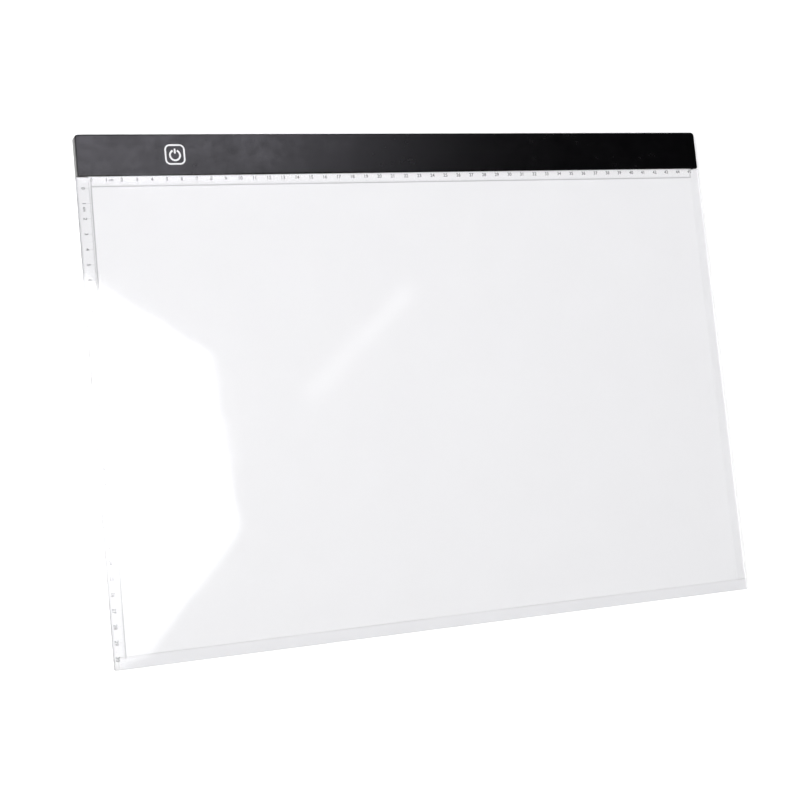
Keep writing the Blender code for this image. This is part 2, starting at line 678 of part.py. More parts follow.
def socket_section(inset):
    """The socket's outline seen from behind: a box whose two lower corners are cut off."""
    half = SOCKET_WIDTH / 2 - inset
    top = SOCKET_HEIGHT - inset
    cut = SOCKET_CHAMFER
    return (
        (-half + cut, inset),
        (half - cut, inset),
        (half, inset + cut),
        (half, top),
        (-half, top),
        (-half, inset + cut),
    )


def socket_space(mouth):
    """Takes an upright prism's axes to the socket's: height becomes depth, measured from the mouth."""
    turn = Matrix.Rotation(math.pi / 2, 4, "X")
    return Matrix.Translation((SOCKET_X, mouth, socket_z_range()[0])) @ turn


def build_socket():
    """The shell is an open tube. The block behind it carries the contact tongue."""
    mouth = FAR - SOCKET_RECESS
    shell_skin = material("socket_steel", (0.62, 0.62, 0.63), 0.28, metallic=1.0)
    shell = prism("usb_socket_shell", socket_section(0), (0, SOCKET_LENGTH), shell_skin)
    shell.matrix_world = socket_space(mouth)
    bore = prism("socket_bore", socket_section(SOCKET_WALL), (-SOCKET_WALL, 2 * SOCKET_LENGTH), None)
    bore.matrix_world = socket_space(mouth)
    boolean(shell, bore, "DIFFERENCE")

    block_skin = material("socket_plastic", (0.03, 0.03, 0.03), 0.5)
    block_depth = (SOCKET_LENGTH - SOCKET_BLOCK_LENGTH, SOCKET_LENGTH)
    block_section = socket_section(SOCKET_WALL + BOND_GAP)
    block = prism("usb_socket_tongue", block_section, block_depth, block_skin)
    block.matrix_world = socket_space(mouth)
    middle = SOCKET_HEIGHT * 0.6
    tongue_x = (-TONGUE_WIDTH / 2, TONGUE_WIDTH / 2)
    tongue_section = rectangle(tongue_x, (middle, middle + TONGUE_THICKNESS))
    tongue_depth = (block_depth[0] - TONGUE_LENGTH, block_depth[0] + SOCKET_BLOCK_LENGTH / 2)
    tongue = prism("contact_tongue", tongue_section, tongue_depth, None)
    tongue.matrix_world = socket_space(mouth)
    boolean(block, tongue, "UNION")


def build_touch_key():
    """A foil disc under the roof, and the coil spring that stands between it and the board."""
    foil_skin = material("electrode_copper", (0.72, 0.38, 0.22), 0.35, metallic=1.0)
    centre = (KEY_X, KEY_Y)
    foil_top = ROOF_INSIDE - FILM_GAP
    bm = bmesh.new()
    add_cylinder(bm, centre, ELECTRODE_RADIUS, (foil_top - ELECTRODE_THICKNESS, foil_top))
    object_from(bm, "touch_electrode", foil_skin)

    spring_skin = material("spring_steel", (0.70, 0.68, 0.62), 0.3, metallic=1.0)
    bottom = BOARD_TOP + FILM_GAP + SPRING_WIRE_RADIUS
    top = foil_top - ELECTRODE_THICKNESS - FILM_GAP - SPRING_WIRE_RADIUS
    points = []
    steps = SPRING_TURNS * 12
    for step in range(steps + 1):
        turn = 2 * math.pi * SPRING_TURNS * step / steps
        x = KEY_X + SPRING_RADIUS * math.cos(turn)
        y = centre[1] + SPRING_SETBACK + SPRING_RADIUS * math.sin(turn)
        points.append((x, y, bottom + (top - bottom) * step / steps))
    tube("touch_spring", points, SPRING_WIRE_RADIUS, 1, spring_skin)


def tube(name, points, radius, resolution, skin):
    """A round wire along the points, with closed ends."""
    path = bpy.data.curves.new(name, "CURVE")
    path.dimensions = "3D"
    path.bevel_depth = radius
    path.bevel_resolution = resolution
    path.use_fill_caps = True
    spline = path.splines.new("POLY")
    spline.points.add(len(points) - 1)
    for target, point in zip(spline.points, points):
        target.co = (*point, 1)
    path.materials.append(skin)
    made = bpy.data.objects.new(name, path)
    bpy.context.scene.collection.objects.link(made)
    return made


def blend_curve(controls, steps):
    """Points on a smooth Bezier curve through its first and last control."""
    points = []
    for step in range(steps + 1):
        t = step / steps
        weights = ((1 - t) ** 3, 3 * t * (1 - t) ** 2, 3 * t * t * (1 - t), t**3)
        points.append(sum((weight * control for weight, control in zip(weights, controls)), Vector()))
    return points


def build_leads():
    """Two insulated leads loop from the board's end to solder pads on the LED bar."""
    height = BOARD_TOP + LEAD_LIFT + LEAD_RADIUS
    for name, start_y, end_x, colour in LEADS:
        skin = material(name + "_skin", colour, 0.5)
        start = Vector((LEAD_START_X, start_y, height))
        end = Vector((end_x, LED_BOARD_REAR + FIT_GAP, height))
        reach = start.x - end.x
        controls = (
            start,
            start - Vector((reach, 0, 0)),
            Vector((end.x, start_y, height)),
            end,
        )
        tube(name, blend_curve(controls, 14), LEAD_RADIUS, 2, skin)


def build_light_seal():
    skin = material("seal_foam_black", (0.02, 0.02, 0.02), 0.95)
    front = STRIP_FRONT + SEAL_SETBACK
    outline = rectangle((-SEAL_LENGTH / 2, SEAL_LENGTH / 2), (front, front + SEAL_WIDTH))
    seal_z = (FRONT_SHEET_Z[1] + FILM_GAP, ROOF_INSIDE - FILM_GAP)
    prism("light_seal_foam", outline, seal_z, skin)


def build_feet():
    skin = material("foot_rubber", (0.05, 0.05, 0.05), 0.85)
    for row, y in FOOT_YS.items():
        for side, x in zip(("left", "middle", "right"), FOOT_XS):
            bm = bmesh.new()
            add_cylinder(bm, (x, y), FOOT_RADIUS, (0, FOOT_HEIGHT))
            foot = object_from(bm, f"foot_{row}_{side}", skin)
            smooth(bevel_edges_at(foot, 0, FOOT_BEVEL, 2))


def build():
    clear_scene()
    build_rear_panel()
    build_optical_stack()
    build_rails()
    build_front_sheet()
    housing_skin = material("housing_black", (0.018, 0.018, 0.020), 0.38)
    build_bottom_cover(housing_skin)
    build_top_cover(housing_skin)
    build_cover_screws()
    build_led_bar()
    build_control_board()
    build_board_screws()
    build_socket()
    build_touch_key()
    build_leads()
    build_light_seal()
    build_feet()


build()
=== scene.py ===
"""Looks of the LED light pad: its materials, printed rulers and key icon, floor, lights and camera.

Units are metres. +Y points from the drawing edge to the control strip and +Z is up, as in the
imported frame, and every piece sits at the frame's origin with its place in its mesh.
"""

import math

import bmesh
import bpy
from mathutils import Matrix, Vector


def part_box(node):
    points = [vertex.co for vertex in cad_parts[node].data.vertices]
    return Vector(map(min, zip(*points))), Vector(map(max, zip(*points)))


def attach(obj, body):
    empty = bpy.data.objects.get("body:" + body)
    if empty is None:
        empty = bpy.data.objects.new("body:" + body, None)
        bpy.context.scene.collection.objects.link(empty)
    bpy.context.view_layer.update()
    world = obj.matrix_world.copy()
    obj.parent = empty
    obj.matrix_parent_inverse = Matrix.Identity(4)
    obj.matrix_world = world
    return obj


# Camera: place, XYZ turn in degrees, lens on a sensor 36 mm wide, and vertical shift.
CAMERA_PLACE = (-0.43695, -0.08882, 1.02160)
CAMERA_TURN = (7.9158, -21.5977, -6.0171)
CAMERA_LENS = 72.498
CAMERA_SENSOR = 36.0
CAMERA_SHIFT = -0.0633

# Printed rulers, under the clear sheet.
INK_BOTTOM_LIFT = 0.000015
INK_THICKNESS = 0.00002
TOP_RULER_CM = 45
LEFT_RULER_CM = 30
RULER_MARGIN = 0.0104
BASELINE_DROP = 0.0061
LEFT_ZERO_DROP = 0.0013
END_LINE_RISE = 0.0024
LEFT_LEAN = math.radians(-0.33)
MARK_STEP = 0.001
MARK_WIDTH = 0.00018
BASELINE_WIDTH = 0.00070
LEFT_LINE_WIDTH = 0.00080
TOP_MARKS = (0.0008, 0.0011, 0.0014)
LEFT_MARKS = (0.0012, 0.0020, 0.0030)
TOP_LABEL_LIFT = 0.0040
LEFT_LABEL_SHIFT = 0.0049
LABEL_HEIGHT = 0.0023
UNIT_HEIGHT = 0.0018
LABEL_WEIGHT = 0.00006
LABEL_CURVE_STEPS = 4
TOP_UNIT_SHIFT = 0.0130
LEFT_UNIT_SHIFT = 0.0137
FONT_HEIGHT = 0.7

# Icon of the touch key: ink that fills the cover's shallow recess.
ICON_DEPTH = 0.0001
ICON_INK_GAP = 0.00001
ICON_SIZE = 0.0137
ICON_STROKE = 0.0011
ICON_CORNER_RADIUS = 0.0036
ICON_CORNER_STEPS = 6
POWER_RADIUS = 0.0040
POWER_STROKE = 0.0012
POWER_DROP = 0.0005
POWER_HALF_GAP = math.radians(24)
POWER_BAR_Y = (0.0010, 0.0046)
POWER_ARC_STEPS = 28

# Surfaces that show from outside.
# The sheet's frosted cut edge is also greyed as painted shade, which dims the panel's side wall.
FROSTED_EDGE_SHADE_COLOUR = (0.85, 0.85, 0.86)
CUT_EDGE_ROUGHNESS = 0.4
CUT_EDGE_COVER = 0.9
SHEET_ROUGHNESS = (0.045, 0.065)
SMEAR_SIZE = 0.03
SCRATCH_WIDTH = 0.0006
SCRATCH_DEPTH = 0.0000002
HEAD_ON_GLOSS = 0.04
RAIL_COLOUR = (0.865, 0.865, 0.868)
SIDE_TAPE_COLOUR = (0.865, 0.865, 0.878)
BOTTOM_TAPE_COLOUR = (0.845, 0.845, 0.860)
HOUSING_COLOUR = (0.0009, 0.0009, 0.0012)

# Details that the materials draw on parts of the CAD nodes.
GUIDE_DOT_PITCH = 0.0012
GUIDE_DOT_SIZE = 0.0006
LED_PITCH = 0.0098
LED_LENGTH = 0.0035
LED_TRACE_OFFSET = 0.38
LED_TRACE_WIDTH = 0.0002
LED_TRACE_LENGTH = 0.007
LED_WINDOW = (0.0028, 0.0013)
LED_END_PAD = 0.0004
LED_DEPTH = 0.0010
SCREW_THREAD_PITCH = 0.0006
SCREW_THREAD_DEPTH = 0.00008
COVER_SCREW_HEAD = 0.0011
SEAM_WIDTH = 0.0001
SEAM_RISE = 0.0004
SOCKET_BLOCK_LENGTH = 0.0014
CONTACT_COUNT = 5
CONTACT_PITCH = 0.00065
CONTACT_WIDTH = 0.0003
END_CAP = 0.0004
CHIP_PIN_PITCH = 0.00127
TRANSISTOR_PIN_PITCH = 0.00095
PIN_DEPTH = 0.0002
PIN_RISE = 0.4
CHIP_DOT_INSET = (0.0005, 0.0004)
CHIP_DOT_RADIUS = 0.0002
TRACE_ROW_PITCH = 0.0016
TRACE_COLUMN_PITCH = 0.0031
TRACE_WIDTH = 0.0003
TRACE_HEIGHT = 0.00003
PAD_SIZE = (0.0009, 0.0007)
WIRE_END = 0.0007

# Reflections in the clear sheet: where their corners lie on it, and how high the cards hang.
CARD_HEIGHT = 1.0
WINDOW_GLOW = 6.5
WINDOW_DIM_GLOW = 2.3
WINDOW_FADE = (-0.150, -0.080)
WINDOW_OUTLINE = (
    (-0.2334, 0.0774),
    (-0.1559, 0.0229),
    (-0.1549, -0.0028),
    (-0.1472, -0.0901),
    (-0.2107, -0.1638),
    (-0.2500, -0.1750),
    (-0.2700, 0.0900),
)
STREAK_ENDS = ((-0.0945, -0.0120), (-0.0045, 0.0650))
STREAK_HALF_WIDTH = 0.0098
STREAK_GLOW = 0.65
STREAK_FULL_WIDTH = 0.2
STREAK_FULL_LENGTH = 0.85

# Card that the strip's gloss reflects: it fades out towards the right and the front.
OVERHEAD_HEIGHT = 1.2
OVERHEAD_GLOW = 7.9
OVERHEAD_TINT = (0.92, 0.895, 1.0)
OVERHEAD_X = (-0.25, 0.72)
OVERHEAD_Y = (0.41, 0.52)
OVERHEAD_FADE_X = (0.12, 0.63)
OVERHEAD_FADE_Y = (0.41, 0.43)

# Studio.
FLOOR_RADIUS = 30.0
FLOOR_SIDES = 64
FLOOR_GRAIN = 0.4
FLOOR_COLOURS = ((0.90, 0.90, 0.90), (0.92, 0.92, 0.92))
FLOOR_GLOW = 0.35
HORIZON_GLOW = 1.05
ZENITH_GLOW = 0.006
GLOW_FADE = (0.12, 0.38)
SUN_ENERGY = 3.07
SUN_SPREAD = math.radians(50)
SUN_SIDE = (-0.9, -0.25, 1.0)
SOFTBOX_ENERGY = 4.2
SOFTBOX_SIZE = 0.9
SOFTBOX_PLACE = (-1.3, 0.2, 1.0)

# Stretches that draw a surface's grain out along X or along Y.
ALONG_X = (0.02, 1.0, 1.0)
ALONG_Y = (1.0, 0.02, 1.0)

BLACK = (0.0, 0.0, 0.0)
WHITE = (1.0, 1.0, 1.0)
TIN = (0.62, 0.62, 0.60)
GOLD = (0.80, 0.58, 0.25)


def link(tree, source, target):
    """Joins a node's output to another's input."""
    tree.links.new(source, target)


def set_input(tree, socket, value):
    """Gives a socket a link, a plain value or a plain colour."""
    if isinstance(value, bpy.types.NodeSocket):
        link(tree, value, socket)
    elif socket.type == "RGBA":
        socket.default_value = (*value, 1.0)
    else:
        socket.default_value = value


def new_material(name):
    """A material, its node tree and its Principled shader."""
    made = bpy.data.materials.new(name)
    made.use_nodes = True
    return made, made.node_tree, made.node_tree.nodes["Principled BSDF"]


def place(tree, stretch=(1.0, 1.0, 1.0)):
    """The point on the surface in the frame's metres, stretched along each axis."""
    source = tree.nodes.new("ShaderNodeTexCoord").outputs["Object"]
    if stretch == (1.0, 1.0, 1.0):
        return source
    mapping = tree.nodes.new("ShaderNodeMapping")
    mapping.inputs["Scale"].default_value = stretch
    link(tree, source, mapping.inputs["Vector"])
    return mapping.outputs["Vector"]


def component(tree, vector, axis):
    """One of a vector's three numbers, for the axis X, Y or Z."""
    split = tree.nodes.new("ShaderNodeSeparateXYZ")
    link(tree, vector, split.inputs["Vector"])
    return split.outputs[axis]


def coordinate(tree, axis):
    """The point's own X, Y or Z."""
    return component(tree, place(tree), axis)


def maths(tree, operation, first, second=0.0, third=0.0):
    """The result of an operation on one to three numbers."""
    made = tree.nodes.new("ShaderNodeMath")
    made.operation = operation
    for socket, value in zip(made.inputs, (first, second, third)):
        set_input(tree, socket, value)
    return made.outputs[0]


def within(tree, value, low, high):
    """One where a value lies between two limits, and zero elsewhere."""
    return maths(tree, "COMPARE", value, (low + high) / 2, (high - low) / 2)


def around(tree, value, middle, width):
    """One where a value lies within half a width of a middle."""
    return within(tree, value, middle - width / 2, middle + width / 2)


def inverse(tree, mask):
    """Zero where a mask is one, and one where it is zero."""
    return maths(tree, "SUBTRACT", 1.0, mask)


def both(tree, *masks):
    """The product of some masks."""
    product = masks[0]
    for mask in masks[1:]:
        product = maths(tree, "MULTIPLY", product, mask)
    return product


def stripes(tree, value, pitch, width, start=0.0):
    """One within half a width of each multiple of a pitch, counted from a start."""
    shifted = maths(tree, "SUBTRACT", value, start)
    return maths(tree, "LESS_THAN", maths(tree, "PINGPONG", shifted, pitch / 2), width / 2)


def faces_up_or_down(tree):
    """One on level faces, and zero on upright ones."""
    normal = tree.nodes.new("ShaderNodeTexCoord").outputs["Normal"]
    rise = maths(tree, "ABSOLUTE", component(tree, normal, "Z"))
    return maths(tree, "GREATER_THAN", rise, 0.5)


def upright(tree):
    """One on upright faces, and zero on level ones."""
    return inverse(tree, faces_up_or_down(tree))


def grid(tree, axis, pitch, width, start=0.0):
    """Stripes across one of the point's own axes."""
    return stripes(tree, coordinate(tree, axis), pitch, width, start)


def noise(tree, grain, detail=3.0, stretch=(1.0, 1.0, 1.0)):
    """Noise whose blotches are about grain metres across."""
    made = tree.nodes.new("ShaderNodeTexNoise")
    made.inputs["Scale"].default_value = 1 / grain
    made.inputs["Detail"].default_value = detail
    link(tree, place(tree, stretch), made.inputs["Vector"])
    return made.outputs["Fac"]


def cells(tree, pitch, feature="F1"):
    """Distance to the nearest of some scattered points, in units of their pitch."""
    made = tree.nodes.new("ShaderNodeTexVoronoi")
    made.feature = feature
    made.inputs["Scale"].default_value = 1 / pitch
    link(tree, place(tree), made.inputs["Vector"])
    return made.outputs["Distance"]


def spread(tree, source, low, high, start=0.3, end=0.7, smooth=False):
    """Maps a factor from start..end to low..high."""
    made = tree.nodes.new("ShaderNodeMapRange")
    made.interpolation_type = "SMOOTHSTEP" if smooth else "LINEAR"
    for socket, value in zip(("From Min", "From Max", "To Min", "To Max"), (start, end, low, high)):
        made.inputs[socket].default_value = value
    link(tree, source, made.inputs["Value"])
    return made.outputs["Result"]


def blend(tree, factor, first, second):
    """A colour between two others."""
    made = tree.nodes.new("ShaderNodeMix")
    made.data_type = "RGBA"
    link(tree, factor, made.inputs["Factor"])
    set_input(tree, made.inputs[6], first)
    set_input(tree, made.inputs[7], second)
    return made.outputs[2]


def blend_value(tree, factor, first, second):
    """A number between two others."""
    made = tree.nodes.new("ShaderNodeMix")
    link(tree, factor, made.inputs["Factor"])
    set_input(tree, made.inputs[2], first)
    set_input(tree, made.inputs[3], second)
    return made.outputs[0]


def bump(tree, height, depth, normal=None):
    """A surface direction tilted by a height, which stands for a relief depth metres deep."""
    made = tree.nodes.new("ShaderNodeBump")
    made.inputs["Distance"].default_value = depth
    link(tree, height, made.inputs["Height"])
    if normal:
        link(tree, normal, made.inputs["Normal"])
    return made.outputs["Normal"]


def add_relief(tree, shader, height, depth):
    """Lays one more relief over the surface."""
    under = shader.inputs["Normal"].links[0].from_socket
    link(tree, bump(tree, height, depth, under), shader.inputs["Normal"])


def cover(tree, shader, mask, colour, roughness, metallic=0.0):
    """Lays another finish over the part of the surface where the mask is one."""
    under = shader.inputs["Base Color"].links[0].from_socket
    link(tree, blend(tree, mask, under, colour), shader.inputs["Base Color"])
    under = shader.inputs["Roughness"].links[0].from_socket
    link(tree, blend_value(tree, mask, under, roughness), shader.inputs["Roughness"])
    metal = shader.inputs["Metallic"]
    if metal.links:
        link(tree, blend_value(tree, mask, metal.links[0].from_socket, metallic), metal)
    elif metal.default_value != metallic:
        link(tree, blend_value(tree, mask, metal.default_value, metallic), metal)


def moulded(
    name, colour, *, contrast, roughness, grain, relief, metallic=0.0, stretch=(1.0, 1.0, 1.0)
):
    """A moulded, rolled or drawn surface: cloudy colour, blotchy gloss and a fine grain in relief.

    roughness is (lowest, highest). grain is the relief's pitch and relief its depth.
    """
    made, tree, shader = new_material(name)
    dark = tuple(channel * (1 - contrast) for channel in colour)
    light = tuple(channel * (1 + contrast) for channel in colour)
    clouds = noise(tree, 40 * grain, detail=4.0)
    link(tree, blend(tree, spread(tree, clouds, 0, 1), dark, light), shader.inputs["Base Color"])
    gloss = noise(tree, 12 * grain, detail=5.0, stretch=stretch)
    link(tree, spread(tree, gloss, *roughness), shader.inputs["Roughness"])
    fine = noise(tree, grain, detail=2.0, stretch=stretch)
    link(tree, bump(tree, fine, relief), shader.inputs["Normal"])
    shader.inputs["Metallic"].default_value = metallic
    return made, tree, shader


def sheet_look():
    """A clear film with hairline scratches, faint smears and a frosted cut edge whose grey is
    painted shade.
    """
    made, tree, shader = new_material("front_sheet_look")
    shader.inputs["Metallic"].default_value = 1.0
    face = faces_up_or_down(tree)
    # Upright faces take the frosted edge's colour, greyed as painted shade.
    link(tree, blend(tree, face, FROSTED_EDGE_SHADE_COLOUR, WHITE), shader.inputs["Base Color"])
    smears = spread(tree, noise(tree, SMEAR_SIZE, detail=4.0), *SHEET_ROUGHNESS)
    link(tree, blend_value(tree, face, CUT_EDGE_ROUGHNESS, smears), shader.inputs["Roughness"])
    scratches = noise(tree, SCRATCH_WIDTH, detail=2.0, stretch=ALONG_Y)
    link(tree, bump(tree, scratches, SCRATCH_DEPTH), shader.inputs["Normal"])

    facing = tree.nodes.new("ShaderNodeLayerWeight")
    grazing = maths(tree, "POWER", facing.outputs["Facing"], 5.0)
    gloss = maths(tree, "MULTIPLY_ADD", grazing, 1 - HEAD_ON_GLOSS, HEAD_ON_GLOSS)
    mirror = blend_value(tree, face, CUT_EDGE_COVER, gloss)

    through = tree.nodes.new("ShaderNodeBsdfTransparent")
    mixed = tree.nodes.new("ShaderNodeMixShader")
    link(tree, mirror, mixed.inputs["Fac"])
    link(tree, through.outputs["BSDF"], mixed.inputs[1])
    link(tree, shader.outputs["BSDF"], mixed.inputs[2])
    link(tree, mixed.outputs["Shader"], tree.nodes["Material Output"].inputs["Surface"])
    return made


def diffuser_look():
    """Opal film with a beaded, matt surface."""
    made, tree, shader = moulded(
        "diffuser_look", (0.90, 0.90, 0.912),
        contrast=0.006, roughness=(0.4, 0.5), grain=0.0005, relief=0.000003,
    )
    add_relief(tree, shader, cells(tree, 0.00015), 0.000004)
    return made


def light_guide_look():
    """Pale acrylic with rows of white printed dots on its level faces."""
    made, tree, shader = moulded(
        "light_guide_look", (0.80, 0.88, 0.90),
        contrast=0.02, roughness=(0.05, 0.12), grain=0.0008, relief=0.000001,
    )
    rows = grid(tree, "Y", GUIDE_DOT_PITCH, GUIDE_DOT_SIZE)
    columns = grid(tree, "X", GUIDE_DOT_PITCH, GUIDE_DOT_SIZE)
    dots = both(tree, columns, rows, faces_up_or_down(tree))
    cover(tree, shader, dots, (0.93, 0.93, 0.93), roughness=0.6)
    return made


def reflector_look():
    """Pearly white film with tiny voids."""
    made, tree, shader = moulded(
        "reflector_look", (0.91, 0.91, 0.91),
        contrast=0.01, roughness=(0.25, 0.4), grain=0.0004, relief=0.000003,
    )
    specks = maths(tree, "LESS_THAN", cells(tree, 0.0015), 0.12)
    cover(tree, shader, specks, (0.84, 0.84, 0.85), roughness=0.5)
    return made


def rear_panel_look():
    """White sheet plastic with a leathery grain and a few scuffs."""
    made, tree, shader = moulded(
        "rear_panel_look", (0.80, 0.80, 0.79),
        contrast=0.02, roughness=(0.45, 0.6), grain=0.0005, relief=0.00002,
    )
    add_relief(tree, shader, cells(tree, 0.0009, "SMOOTH_F1"), 0.00003)
    patches = noise(tree, 0.004, detail=6.0, stretch=(1.0, 0.1, 1.0))
    scuffs = spread(tree, patches, 0, 0.5, start=0.66, end=0.74)
    cover(tree, shader, scuffs, (0.62, 0.62, 0.60), roughness=0.7)
    return made


def rail_look(name, along_x):
    """Extruded white plastic with die lines along it, and upright sides greyed as painted shade."""
    stretch = ALONG_X if along_x else ALONG_Y
    made, tree, shader = moulded(
        name, RAIL_COLOUR,
        contrast=0.008, roughness=(0.35, 0.5), grain=0.0003, relief=0.00001, stretch=stretch,
    )
    rubbed = spread(tree, noise(tree, 0.003, detail=5.0), 0, 0.4, start=0.62, end=0.70)
    cover(tree, shader, rubbed, (0.80, 0.80, 0.79), roughness=0.6)
    # Painted shade: every upright face of the rail is greyed, which dims the panel's side wall.
    cover(tree, shader, upright(tree), (0.80, 0.80, 0.80), roughness=0.6)
    return made


def tape_look(name, colour):
    """White double-sided tape: a fibrous carrier with small trapped air bubbles."""
    made, tree, shader = moulded(
        name, colour,
        contrast=0.008, roughness=(0.5, 0.65), grain=0.0006, relief=0.000005,
    )
    add_relief(tree, shader, noise(tree, 0.0004, detail=3.0, stretch=(1.0, 0.2, 1.0)), 0.000004)
    bubbles = maths(tree, "LESS_THAN", cells(tree, 0.004), 0.07)
    cover(tree, shader, bubbles, (0.88, 0.88, 0.88), roughness=0.3)
    return made


def thermal_tape_look():
    """Grey tape that carries heat, with a rubbery surface."""
    return moulded(
        "thermal_tape_look", (0.5, 0.51, 0.53),
        contrast=0.08, roughness=(0.6, 0.8), grain=0.0003, relief=0.00001,
    )[0]


def ink_look(name, colour, contrast, grain=0.0003, relief=0.000001):
    """Printed ink, a little uneven in colour and gloss."""
    return moulded(
        name, colour,
        contrast=contrast, roughness=(0.4, 0.5), grain=grain, relief=relief,
    )[0]


def housing_look():
    """Black plastic with a fine spark-eroded grain, finger smears and hairline rubs."""
    made, tree, shader = moulded(
        "housing_look", HOUSING_COLOUR,
        contrast=0.2, roughness=(0.19, 0.24), grain=0.0004, relief=0.000001,
    )
    smears = spread(tree, noise(tree, 0.025, detail=5.0, stretch=(1.0, 1.6, 1.0)), 0.0, 0.05)
    under = shader.inputs["Roughness"].links[0].from_socket
    link(tree, maths(tree, "ADD", under, smears), shader.inputs["Roughness"])
    add_relief(tree, shader, noise(tree, 0.0016, detail=2.0, stretch=(0.04, 1.0, 1.0)), 0.0000008)
    return made


def thread_look(name, colour, thread_z):
    """Plated steel screw with a thread on its shank and some grime."""
    made, tree, shader = moulded(
        name, colour,
        contrast=0.12, roughness=(0.22, 0.4), grain=0.00015, relief=0.000006, metallic=1.0,
    )
    z = coordinate(tree, "Z")
    turns = maths(tree, "SINE", maths(tree, "MULTIPLY", z, 2 * math.pi / SCREW_THREAD_PITCH))
    add_relief(tree, shader, both(tree, turns, within(tree, z, *thread_z)), SCREW_THREAD_DEPTH)
    grime = spread(tree, noise(tree, 0.0007, detail=5.0), 0, 0.6, start=0.58, end=0.70)
    cover(tree, shader, grime, (0.16, 0.15, 0.13), roughness=0.6, metallic=0.3)
    return made


def led_bar_look():
    """White circuit board with two traces, and LEDs with yellow windows and tinned ends."""
    made, tree, shader = moulded(
        "led_bar_look", (0.82, 0.82, 0.79),
        contrast=0.02, roughness=(0.35, 0.5), grain=0.0003, relief=0.000004,
    )
    low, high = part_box("led_bar")
    z = coordinate(tree, "Z")
    trace_offset = (high.z - low.z) * LED_TRACE_OFFSET
    for side in (-1, 1):
        trace_z = around(tree, z, (low.z + high.z) / 2 + side * trace_offset, LED_TRACE_WIDTH)
        trace = both(tree, trace_z, grid(tree, "X", LED_PITCH, LED_TRACE_LENGTH))
        cover(tree, shader, trace, (0.74, 0.74, 0.69), roughness=0.4)
    on_led = around(tree, coordinate(tree, "Y"), low.y, LED_DEPTH)
    beyond_body = inverse(tree, grid(tree, "X", LED_PITCH, LED_LENGTH - 2 * LED_END_PAD))
    cover(tree, shader, both(tree, on_led, beyond_body), TIN, roughness=0.3, metallic=1.0)
    window = both(tree, on_led, grid(tree, "X", LED_PITCH, LED_WINDOW[0]))
    guide_low, guide_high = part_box("light_guide_plate")
    window_z = around(tree, z, (guide_low.z + guide_high.z) / 2, LED_WINDOW[1])
    cover(tree, shader, both(tree, window, window_z), (0.85, 0.70, 0.12), roughness=0.25)
    return made


def board_look():
    """Green solder mask over copper traces, tinned pads, and a pale fibre core at the edges."""
    made, tree, shader = moulded(
        "board_look", (0.018, 0.13, 0.055),
        contrast=0.12, roughness=(0.22, 0.35), grain=0.0003, relief=0.000003,
    )
    level = faces_up_or_down(tree)
    row_cuts = within(tree, noise(tree, 0.006, detail=0.0), 0.46, 0.7)
    rows = both(tree, grid(tree, "Y", TRACE_ROW_PITCH, TRACE_WIDTH), row_cuts)
    column_cuts = within(tree, noise(tree, 0.005, detail=0.0), 0.3, 0.5)
    columns = both(tree, grid(tree, "X", TRACE_COLUMN_PITCH, TRACE_WIDTH), column_cuts)
    traces = maths(tree, "MAXIMUM", rows, columns)
    add_relief(tree, shader, traces, TRACE_HEIGHT)
    cover(tree, shader, both(tree, traces, level), (0.04, 0.24, 0.09), roughness=0.25)
    pad_columns = grid(tree, "X", TRACE_COLUMN_PITCH, PAD_SIZE[0])
    pad_rows = grid(tree, "Y", 2 * TRACE_ROW_PITCH, PAD_SIZE[1])
    cover(tree, shader, both(tree, pad_columns, pad_rows, level), TIN, roughness=0.3, metallic=1.0)
    cover(tree, shader, upright(tree), (0.42, 0.36, 0.17), roughness=0.7)
    return made


def chip_look(node_name, pin_pitch):
    """Black epoxy with tinned pins along its two long sides and a dot beside the first one."""
    name = node_name + "_look"
    made, tree, shader = moulded(
        name, (0.022, 0.022, 0.025),
        contrast=0.2, roughness=(0.35, 0.55), grain=0.00012, relief=0.000008,
    )
    low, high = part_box(node_name)
    middle = within(tree, coordinate(tree, "Y"), low.y + PIN_DEPTH, high.y - PIN_DEPTH)
    foot = maths(tree, "LESS_THAN", coordinate(tree, "Z"), low.z + (high.z - low.z) * PIN_RISE)
    pins = grid(tree, "X", pin_pitch, pin_pitch / 3, (low.x + high.x) / 2 + pin_pitch / 2)
    pins = both(tree, pins, inverse(tree, middle), foot)
    cover(tree, shader, pins, TIN, roughness=0.3, metallic=1.0)
    reach = tree.nodes.new("ShaderNodeVectorMath")
    reach.operation = "DISTANCE"
    link(tree, place(tree), reach.inputs[0])
    reach.inputs[1].default_value = (low.x + CHIP_DOT_INSET[0], low.y + CHIP_DOT_INSET[1], high.z)
    dot = maths(tree, "LESS_THAN", reach.outputs["Value"], CHIP_DOT_RADIUS)
    cover(tree, shader, dot, (0.12, 0.12, 0.12), roughness=0.8)
    return made


def capped_look(node_name, colour, side_colour):
    """A ceramic body between two tinned end caps."""
    made, tree, shader = moulded(
        node_name + "_look", colour,
        contrast=0.08, roughness=(0.3, 0.5), grain=0.0001, relief=0.000005,
    )
    low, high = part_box(node_name)
    cover(tree, shader, upright(tree), side_colour, roughness=0.5)
    body = within(tree, coordinate(tree, "X"), low.x + END_CAP, high.x - END_CAP)
    cover(tree, shader, inverse(tree, body), TIN, roughness=0.32, metallic=1.0)
    return made


def socket_shell_look():
    """Nickel-plated steel, drawn lengthwise, with a folded seam underneath."""
    drawn = (1.0, 0.05, 1.0)
    made, tree, shader = moulded(
        "socket_shell_look", (0.60, 0.59, 0.57),
        contrast=0.08, roughness=(0.18, 0.34),
        grain=0.0002, relief=0.000006, metallic=1.0, stretch=drawn,
    )
    low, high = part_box("usb_socket_shell")
    seam = around(tree, coordinate(tree, "X"), (low.x + high.x) / 2, SEAM_WIDTH)
    underneath = maths(tree, "LESS_THAN", coordinate(tree, "Z"), low.z + SEAM_RISE)
    seam = both(tree, seam, underneath)
    cover(tree, shader, seam, (0.08, 0.08, 0.08), roughness=0.6, metallic=0.5)
    return made


